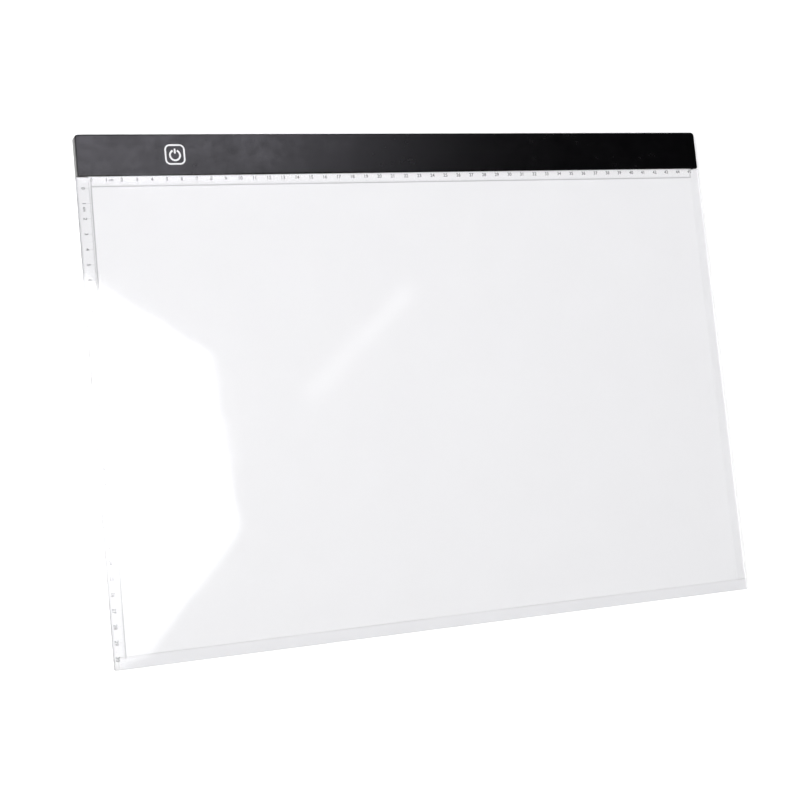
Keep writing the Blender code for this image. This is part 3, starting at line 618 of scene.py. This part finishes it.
def socket_tongue_look():
    """Black plastic tongue with five gold contacts."""
    made, tree, shader = moulded(
        "socket_tongue_look", (0.03, 0.03, 0.032),
        contrast=0.15, roughness=(0.4, 0.55), grain=0.00015, relief=0.000008,
    )
    low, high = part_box("usb_socket_tongue")
    middle = (low.x + high.x) / 2
    row = around(tree, coordinate(tree, "X"), middle, CONTACT_COUNT * CONTACT_PITCH)
    tongue = maths(tree, "GREATER_THAN", coordinate(tree, "Y"), low.y + SOCKET_BLOCK_LENGTH)
    contacts = grid(tree, "X", CONTACT_PITCH, CONTACT_WIDTH, middle)
    contacts = both(tree, row, tongue, contacts, faces_up_or_down(tree))
    cover(tree, shader, contacts, GOLD, roughness=0.25, metallic=1.0)
    return made


def electrode_look():
    """Copper foil with patches of dull oxide."""
    rolled = (1.0, 0.1, 1.0)
    made, tree, shader = moulded(
        "electrode_look", (0.72, 0.38, 0.22),
        contrast=0.1, roughness=(0.2, 0.4),
        grain=0.0002, relief=0.000004, metallic=1.0, stretch=rolled,
    )
    oxide = spread(tree, noise(tree, 0.002, detail=5.0), 0, 0.8, start=0.52, end=0.68)
    cover(tree, shader, oxide, (0.32, 0.13, 0.07), roughness=0.55, metallic=0.6)
    return made


def spring_look():
    """Spring wire with a fine grain and a straw-coloured heat tint."""
    made, tree, shader = moulded(
        "spring_look", (0.68, 0.67, 0.64),
        contrast=0.06, roughness=(0.18, 0.32), grain=0.00008, relief=0.000003, metallic=1.0,
    )
    tint = spread(tree, noise(tree, 0.0012, detail=3.0), 0, 0.7, start=0.5, end=0.65)
    cover(tree, shader, tint, (0.62, 0.47, 0.25), roughness=0.3, metallic=1.0)
    return made


def lead_look(node_name, colour):
    """Soft insulation with a fine grain, and tinned strands at both ends."""
    made, tree, shader = moulded(
        node_name + "_look", colour,
        contrast=0.12, roughness=(0.35, 0.5), grain=0.0003, relief=0.000008,
    )
    low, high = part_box(node_name)
    near_board = maths(tree, "GREATER_THAN", coordinate(tree, "X"), high.x - WIRE_END)
    near_bar = maths(tree, "LESS_THAN", coordinate(tree, "Y"), low.y + WIRE_END)
    ends = maths(tree, "MAXIMUM", near_board, near_bar)
    cover(tree, shader, ends, TIN, roughness=0.3, metallic=1.0)
    return made


def foam_look():
    """Black foam with open pores, their hollows coloured near black as painted shade."""
    made, tree, shader = moulded(
        "foam_look", (0.02, 0.02, 0.021),
        contrast=0.25, roughness=(0.9, 1.0), grain=0.0003, relief=0.00004,
    )
    pores = cells(tree, 0.0005)
    add_relief(tree, shader, pores, 0.0002)
    # Painted shade: the bottoms of the pores are coloured near black.
    cover(tree, shader, maths(tree, "LESS_THAN", pores, 0.28), (0.004, 0.004, 0.004), roughness=1.0)
    return made


def foot_look():
    """Black rubber with a fine grain and patches of dust."""
    made, tree, shader = moulded(
        "foot_look", (0.035, 0.035, 0.036),
        contrast=0.15, roughness=(0.7, 0.9), grain=0.0003, relief=0.00001,
    )
    dust = spread(tree, noise(tree, 0.0015, detail=6.0), 0, 0.5, start=0.55, end=0.70)
    cover(tree, shader, dust, (0.16, 0.155, 0.145), roughness=0.95)
    return made


def node_looks():
    """Each CAD node's material, by the node's name."""
    looks = {
        "front_sheet": sheet_look(),
        "diffuser_film": diffuser_look(),
        "light_guide_plate": light_guide_look(),
        "reflector_sheet": reflector_look(),
        "rear_panel": rear_panel_look(),
        "led_bar": led_bar_look(),
        "led_bar_tape": thermal_tape_look(),
        "control_board": board_look(),
        "touch_chip": chip_look("touch_chip", CHIP_PIN_PITCH),
        "dimmer_transistor": chip_look("dimmer_transistor", TRANSISTOR_PIN_PITCH),
        "usb_socket_shell": socket_shell_look(),
        "usb_socket_tongue": socket_tongue_look(),
        "touch_electrode": electrode_look(),
        "touch_spring": spring_look(),
        "power_lead_red": lead_look("power_lead_red", (0.50, 0.025, 0.025)),
        "power_lead_black": lead_look("power_lead_black", (0.02, 0.02, 0.021)),
        "light_seal_foam": foam_look(),
    }
    housing = housing_look()
    looks["strip_top_cover"] = housing
    looks["strip_bottom_cover"] = housing
    for side, along_x in (("left", False), ("right", False), ("bottom", True)):
        tape = tape_look(side + "_tape_look", BOTTOM_TAPE_COLOUR if along_x else SIDE_TAPE_COLOUR)
        looks[side + "_edge_rail"] = rail_look(side + "_rail_look", along_x)
        looks[side + "_front_tape"] = tape
        looks[side + "_rear_tape"] = tape
    for name in ("input_capacitor", "filter_capacitor"):
        looks[name] = capped_look(name, (0.45, 0.31, 0.19), (0.40, 0.28, 0.17))
    for name in ("current_resistor_1", "current_resistor_2"):
        looks[name] = capped_look(name, (0.03, 0.03, 0.035), (0.78, 0.78, 0.76))
    return looks


def paint_nodes(nodes):
    """Gives every CAD node its material."""
    looks = node_looks()
    low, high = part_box("cover_screw_1")
    cover_screw_thread = (low.z + COVER_SCREW_HEAD, high.z)
    cover_screw = thread_look("cover_screw_look", (0.42, 0.42, 0.44), cover_screw_thread)
    board_screw_thread = (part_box("board_screw_1")[0].z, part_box("control_board")[1].z)
    board_screw = thread_look("board_screw_look", (0.58, 0.57, 0.52), board_screw_thread)
    foot = foot_look()
    for name, node in nodes.items():
        look = looks.get(name)
        if name.startswith("cover_screw"):
            look = cover_screw
        elif name.startswith("board_screw"):
            look = board_screw
        elif name.startswith("foot"):
            look = foot
        for slot in node.material_slots:
            slot.material = look


def add_box(bm, low, high):
    """Adds an upright box to a bmesh."""
    outline = ((low[0], low[1]), (high[0], low[1]), (high[0], high[1]), (low[0], high[1]))
    add_prism(bm, outline, (low[2], high[2]))


def add_prism(bm, outline, z_range):
    """Adds an upright prism to a bmesh."""
    low, high = [[bm.verts.new((*point, z)) for point in outline] for z in z_range]
    bm.faces.new(low[::-1])
    bm.faces.new(high)
    for index in range(len(outline)):
        bm.faces.new((low[index - 1], low[index], high[index], high[index - 1]))


def finish_piece(bm, name, look, body="root"):
    """Turns a bmesh into a piece that rides on a body."""
    bmesh.ops.recalc_face_normals(bm, faces=bm.faces)
    mesh = bpy.data.meshes.new(name)
    bm.to_mesh(mesh)
    bm.free()
    mesh.materials.append(look)
    piece = bpy.data.objects.new(name, mesh)
    bpy.context.scene.collection.objects.link(piece)
    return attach(piece, body)


def mark_length(index, lengths):
    """The length of a ruler's mark: lengths are for a millimetre, a half and a whole centimetre."""
    if index % 10 == 0:
        return lengths[2]
    return lengths[1] if index % 5 == 0 else lengths[0]


def text_mesh(text, height):
    """The text as a thin solid, with its middle at the origin and its digits height tall."""
    curve = bpy.data.curves.new("label", "FONT")
    curve.body = text
    curve.size = height / FONT_HEIGHT
    curve.resolution_u = LABEL_CURVE_STEPS
    curve.offset = LABEL_WEIGHT
    curve.extrude = INK_THICKNESS / 2
    curve.align_x = "CENTER"
    curve.align_y = "CENTER"
    holder = bpy.data.objects.new("label", curve)
    bpy.context.scene.collection.objects.link(holder)
    bpy.context.view_layer.update()
    depsgraph = bpy.context.evaluated_depsgraph_get()
    mesh = bpy.data.meshes.new_from_object(holder.evaluated_get(depsgraph))
    bpy.data.objects.remove(holder, do_unlink=True)
    bpy.data.curves.remove(curve)
    return mesh


def add_text(bm, text, height, centre, turn):
    """Adds a text, turned about the vertical, with its middle at a point."""
    mesh = text_mesh(text, height)
    mesh.transform(Matrix.Translation(centre) @ Matrix.Rotation(turn, 4, "Z"))
    bm.from_mesh(mesh)
    bpy.data.meshes.remove(mesh)


def ruler_frame():
    """The top ruler's zero, the Y at which the end lines stop, and the ink's two heights."""
    sheet_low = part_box("front_sheet")[0]
    diffuser_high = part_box("diffuser_film")[1]
    strip_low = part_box("strip_top_cover")[0]
    ink_z = (diffuser_high.z + INK_BOTTOM_LIFT, diffuser_high.z + INK_BOTTOM_LIFT + INK_THICKNESS)
    zero = Vector((sheet_low.x + RULER_MARGIN, strip_low.y - BASELINE_DROP))
    return zero, zero.y + END_LINE_RISE, ink_z


def build_top_ruler(line_ink, digit_ink):
    """The ruler along the strip."""
    zero, line_top, ink_z = ruler_frame()
    bm = bmesh.new()
    end = zero.x + TOP_RULER_CM / 100
    add_box(bm, (zero.x, zero.y - BASELINE_WIDTH, ink_z[0]), (end, zero.y, ink_z[1]))
    for index in range(TOP_RULER_CM * 10 + 1):
        x = zero.x + index * MARK_STEP
        top = zero.y + mark_length(index, TOP_MARKS)
        add_box(bm, (x - MARK_WIDTH / 2, zero.y, ink_z[0]), (x + MARK_WIDTH / 2, top, ink_z[1]))
    end_line_low = (end, zero.y - BASELINE_WIDTH, ink_z[0])
    add_box(bm, end_line_low, (end + BASELINE_WIDTH, line_top, ink_z[1]))
    finish_piece(bm, "top_ruler_marks", line_ink)

    bm = bmesh.new()
    middle = sum(ink_z) / 2
    for count in range(TOP_RULER_CM + 1):
        centre = (zero.x + count / 100, zero.y + TOP_LABEL_LIFT, middle)
        add_text(bm, str(count), LABEL_HEIGHT, centre, 0)
    unit = (zero.x + TOP_UNIT_SHIFT, zero.y + TOP_LABEL_LIFT, middle)
    add_text(bm, "cm", UNIT_HEIGHT, unit, 0)
    finish_piece(bm, "top_ruler_labels", digit_ink)


def build_left_ruler(line_ink, digit_ink):
    """The ruler down the left side, which leans because its print isn't square to the strip."""
    zero, line_top, ink_z = ruler_frame()
    start = zero.y - LEFT_ZERO_DROP
    pivot = Matrix.Translation((zero.x, line_top, 0))
    lean = pivot @ Matrix.Rotation(LEFT_LEAN, 4, "Z") @ pivot.inverted()
    bm = bmesh.new()
    end = start - LEFT_RULER_CM / 100
    line = zero.x - LEFT_LINE_WIDTH
    add_box(bm, (line, end, ink_z[0]), (zero.x, line_top, ink_z[1]))
    for index in range(LEFT_RULER_CM * 10 + 1):
        y = start - index * MARK_STEP
        tip = line - mark_length(index, LEFT_MARKS)
        add_box(bm, (tip, y - MARK_WIDTH / 2, ink_z[0]), (line, y + MARK_WIDTH / 2, ink_z[1]))
    bm.transform(lean)
    finish_piece(bm, "left_ruler_marks", line_ink)

    bm = bmesh.new()
    middle = sum(ink_z) / 2
    for count in range(LEFT_RULER_CM + 1):
        centre = (line - LEFT_LABEL_SHIFT, start - count / 100, middle)
        add_text(bm, str(count), LABEL_HEIGHT, centre, -math.pi / 2)
    unit = (line - LEFT_LABEL_SHIFT, start - LEFT_UNIT_SHIFT, middle)
    add_text(bm, "cm", UNIT_HEIGHT, unit, -math.pi / 2)
    bm.transform(lean)
    finish_piece(bm, "left_ruler_labels", digit_ink)


def rounded_square(centre, size):
    """A square outline whose rounded corners share their centres with the icon's frame."""
    half = size / 2
    radius = ICON_CORNER_RADIUS - (ICON_SIZE - size) / 2
    outline = []
    for corner, (side_x, side_y) in enumerate(((1, 1), (-1, 1), (-1, -1), (1, -1))):
        middle = centre + Vector((side_x, side_y)) * (half - radius)
        for step in range(ICON_CORNER_STEPS + 1):
            turn = (corner + step / ICON_CORNER_STEPS) * math.pi / 2
            outline.append(middle + radius * Vector((math.cos(turn), math.sin(turn))))
    return outline


def add_ring(bm, outer, inner, z_range):
    """Adds the flat band between two outlines that have the same number of points."""
    levels = []
    for z in z_range:
        level = []
        for outline in (outer, inner):
            level.append([bm.verts.new((*point, z)) for point in outline])
        levels.append(level)
    count = len(outer)
    for index in range(count):
        after = (index + 1) % count
        for level in levels:
            bm.faces.new((level[0][index], level[0][after], level[1][after], level[1][index]))
        for side in (0, 1):
            low, high = levels[0][side], levels[1][side]
            bm.faces.new((low[index], low[after], high[after], high[index]))


def build_icon(look):
    """The key's printed icon: a rounded frame round a power sign, over the electrode."""
    low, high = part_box("touch_electrode")
    centre = Vector(((low.x + high.x) / 2, (low.y + high.y) / 2))
    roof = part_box("strip_top_cover")[1].z
    ink_z = (roof - ICON_DEPTH + ICON_INK_GAP, roof - ICON_INK_GAP)
    bm = bmesh.new()
    outer = rounded_square(centre, ICON_SIZE - 2 * ICON_INK_GAP)
    inner = rounded_square(centre, ICON_SIZE - 2 * ICON_STROKE + 2 * ICON_INK_GAP)
    add_ring(bm, outer, inner, ink_z)

    hub = centre - Vector((0, POWER_DROP))
    outer = []
    inner = []
    sweep = 2 * (math.pi - POWER_HALF_GAP)
    for step in range(POWER_ARC_STEPS + 1):
        turn = math.pi / 2 + POWER_HALF_GAP + sweep * step / POWER_ARC_STEPS
        ray = Vector((math.cos(turn), math.sin(turn)))
        outer.append(hub + (POWER_RADIUS - ICON_INK_GAP) * ray)
        inner.append(hub + (POWER_RADIUS - POWER_STROKE + ICON_INK_GAP) * ray)
    add_prism(bm, outer + inner[::-1], ink_z)
    half = POWER_STROKE / 2 - ICON_INK_GAP
    add_box(
        bm,
        (hub.x - half, hub.y + POWER_BAR_Y[0], ink_z[0]),
        (hub.x + half, hub.y + POWER_BAR_Y[1], ink_z[1]),
    )
    finish_piece(bm, "key_icon_ink", look)


def stage_plane(name, corners, look):
    """A flat surface that belongs to the studio and not to the object."""
    mesh = bpy.data.meshes.new(name)
    mesh.from_pydata(corners, [], [list(range(len(corners)))])
    mesh.materials.append(look)
    made = bpy.data.objects.new(name, mesh)
    bpy.context.scene.collection.objects.link(made)
    return made


def glowing(name, colour):
    """A surface that only gives light."""
    made, tree, shader = new_material(name)
    shader.inputs["Base Color"].default_value = (*BLACK, 1.0)
    shader.inputs["Specular IOR Level"].default_value = 0
    shader.inputs["Emission Color"].default_value = (*colour, 1.0)
    return made, tree, shader.inputs["Emission Strength"]


def build_floor():
    """A wide pale floor that glows a little, so that it stays white up to the horizon."""
    made, tree, shader = new_material("floor_look")
    clouds = noise(tree, FLOOR_GRAIN)
    link(tree, blend(tree, clouds, *FLOOR_COLOURS), shader.inputs["Base Color"])
    shader.inputs["Roughness"].default_value = 0.9
    shader.inputs["Specular IOR Level"].default_value = 0
    shader.inputs["Emission Color"].default_value = (*WHITE, 1.0)
    shader.inputs["Emission Strength"].default_value = FLOOR_GLOW
    corners = []
    for side in range(FLOOR_SIDES):
        turn = 2 * math.pi * side / FLOOR_SIDES
        corners.append((FLOOR_RADIUS * math.cos(turn), FLOOR_RADIUS * math.sin(turn), 0))
    stage_plane("floor", corners, made)


def card_point(point, height):
    """Where something must hang to be mirrored, as the camera sees it, at a point on the sheet."""
    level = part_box("front_sheet")[1].z
    scale = height / (CAMERA_PLACE[2] - level)
    across = point[0] + (point[0] - CAMERA_PLACE[0]) * scale
    along = point[1] + (point[1] - CAMERA_PLACE[1]) * scale
    return Vector((across, along, level + height))


def build_window_card():
    """A bright window that is dimmer at its front end."""
    made, tree, strength = glowing("window_glow", WHITE)
    fade = [card_point((0, reflected_y), CARD_HEIGHT).y for reflected_y in WINDOW_FADE]
    glow = (WINDOW_DIM_GLOW, WINDOW_GLOW)
    link(tree, spread(tree, coordinate(tree, "Y"), *glow, *fade, smooth=True), strength)
    stage_plane("window_card", [card_point(point, CARD_HEIGHT) for point in WINDOW_OUTLINE], made)


def build_streak_card():
    """A dim bar of light with soft edges, whose own X runs along it."""
    ends = [card_point(point, CARD_HEIGHT) for point in STREAK_ENDS]
    run = ends[1] - ends[0]
    scale = run.length / (Vector(STREAK_ENDS[1]) - Vector(STREAK_ENDS[0])).length
    half_length = run.length / 2
    half_width = STREAK_HALF_WIDTH * scale
    made, tree, strength = glowing("streak_glow", WHITE)
    off_middle = maths(tree, "ABSOLUTE", coordinate(tree, "Y"))
    side_fade = (STREAK_FULL_WIDTH * half_width, half_width)
    across = spread(tree, off_middle, 1, 0, *side_fade, smooth=True)
    reach = maths(tree, "ABSOLUTE", coordinate(tree, "X"))
    end_fade = (STREAK_FULL_LENGTH * half_length, half_length)
    along = spread(tree, reach, STREAK_GLOW, 0, *end_fade, smooth=True)
    link(tree, both(tree, across, along), strength)
    corners = [
        (-half_length, -half_width, 0),
        (half_length, -half_width, 0),
        (half_length, half_width, 0),
        (-half_length, half_width, 0),
    ]
    card = stage_plane("streak_card", corners, made)
    card.location = (ends[0] + ends[1]) / 2
    card.rotation_euler = (0, 0, math.atan2(run.y, run.x))


def build_overhead_card():
    """The light that the strip's gloss mirrors."""
    made, tree, strength = glowing("overhead_glow", OVERHEAD_TINT)
    across = spread(tree, coordinate(tree, "X"), 1, 0, *OVERHEAD_FADE_X, smooth=True)
    along = spread(tree, coordinate(tree, "Y"), 0, OVERHEAD_GLOW, *OVERHEAD_FADE_Y, smooth=True)
    link(tree, both(tree, across, along), strength)
    corners = [
        (OVERHEAD_X[0], OVERHEAD_Y[0], OVERHEAD_HEIGHT),
        (OVERHEAD_X[1], OVERHEAD_Y[0], OVERHEAD_HEIGHT),
        (OVERHEAD_X[1], OVERHEAD_Y[1], OVERHEAD_HEIGHT),
        (OVERHEAD_X[0], OVERHEAD_Y[1], OVERHEAD_HEIGHT),
    ]
    stage_plane("overhead_card", corners, made)


def build_world():
    """White all round at eye height, and dark overhead, where only the cards are bright."""
    world = bpy.data.worlds.new("studio")
    bpy.context.scene.world = world
    world.use_nodes = True
    tree = world.node_tree
    direction = tree.nodes.new("ShaderNodeTexCoord").outputs["Generated"]
    height = component(tree, direction, "Z")
    glow = spread(tree, height, HORIZON_GLOW, ZENITH_GLOW, *GLOW_FADE, smooth=True)
    background = tree.nodes["Background"]
    background.inputs["Color"].default_value = (*WHITE, 1.0)
    link(tree, glow, background.inputs["Strength"])


def add_lamp(name, lamp, location, direction):
    """Adds a lamp that shines from a direction."""
    holder = bpy.data.objects.new(name, lamp)
    holder.location = location
    holder.rotation_euler = Vector(direction).to_track_quat("Z", "Y").to_euler()
    bpy.context.scene.collection.objects.link(holder)


def build_lamps():
    """A wide soft sun from the left, and a weak softbox that brightens the left side a little."""
    sun = bpy.data.lights.new("soft_sun", "SUN")
    sun.energy = SUN_ENERGY
    sun.angle = SUN_SPREAD
    add_lamp("soft_sun", sun, SUN_SIDE, SUN_SIDE)

    box = bpy.data.lights.new("left_softbox", "AREA")
    box.shape = "SQUARE"
    box.size = SOFTBOX_SIZE
    box.energy = SOFTBOX_ENERGY
    add_lamp("left_softbox", box, SOFTBOX_PLACE, SOFTBOX_PLACE)


def build_camera():
    """The scene's camera."""
    camera = bpy.data.cameras.new("camera")
    camera.lens = CAMERA_LENS
    camera.sensor_width = CAMERA_SENSOR
    camera.shift_y = CAMERA_SHIFT
    holder = bpy.data.objects.new("camera", camera)
    holder.location = CAMERA_PLACE
    holder.rotation_euler = [math.radians(turn) for turn in CAMERA_TURN]
    bpy.context.scene.collection.objects.link(holder)
    bpy.context.scene.camera = holder


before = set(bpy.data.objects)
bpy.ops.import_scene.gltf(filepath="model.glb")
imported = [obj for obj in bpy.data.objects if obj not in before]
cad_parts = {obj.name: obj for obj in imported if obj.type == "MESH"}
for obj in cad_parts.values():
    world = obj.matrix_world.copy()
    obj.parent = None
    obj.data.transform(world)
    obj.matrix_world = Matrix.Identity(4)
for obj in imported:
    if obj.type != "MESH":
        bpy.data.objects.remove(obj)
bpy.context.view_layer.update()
bpy.context.scene.view_settings.view_transform = "Standard"
build_camera()
paint_nodes(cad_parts)
line_ink = ink_look("line_ink_look", (0.56, 0.56, 0.57), 0.05)
digit_ink = ink_look("digit_ink_look", (0.22, 0.22, 0.23), 0.12)
build_top_ruler(line_ink, digit_ink)
build_left_ruler(line_ink, digit_ink)
build_icon(ink_look("icon_ink_look", (0.85, 0.85, 0.86), 0.02, grain=0.0002, relief=0.000003))
build_floor()
build_window_card()
build_streak_card()
build_overhead_card()
build_world()
build_lamps()
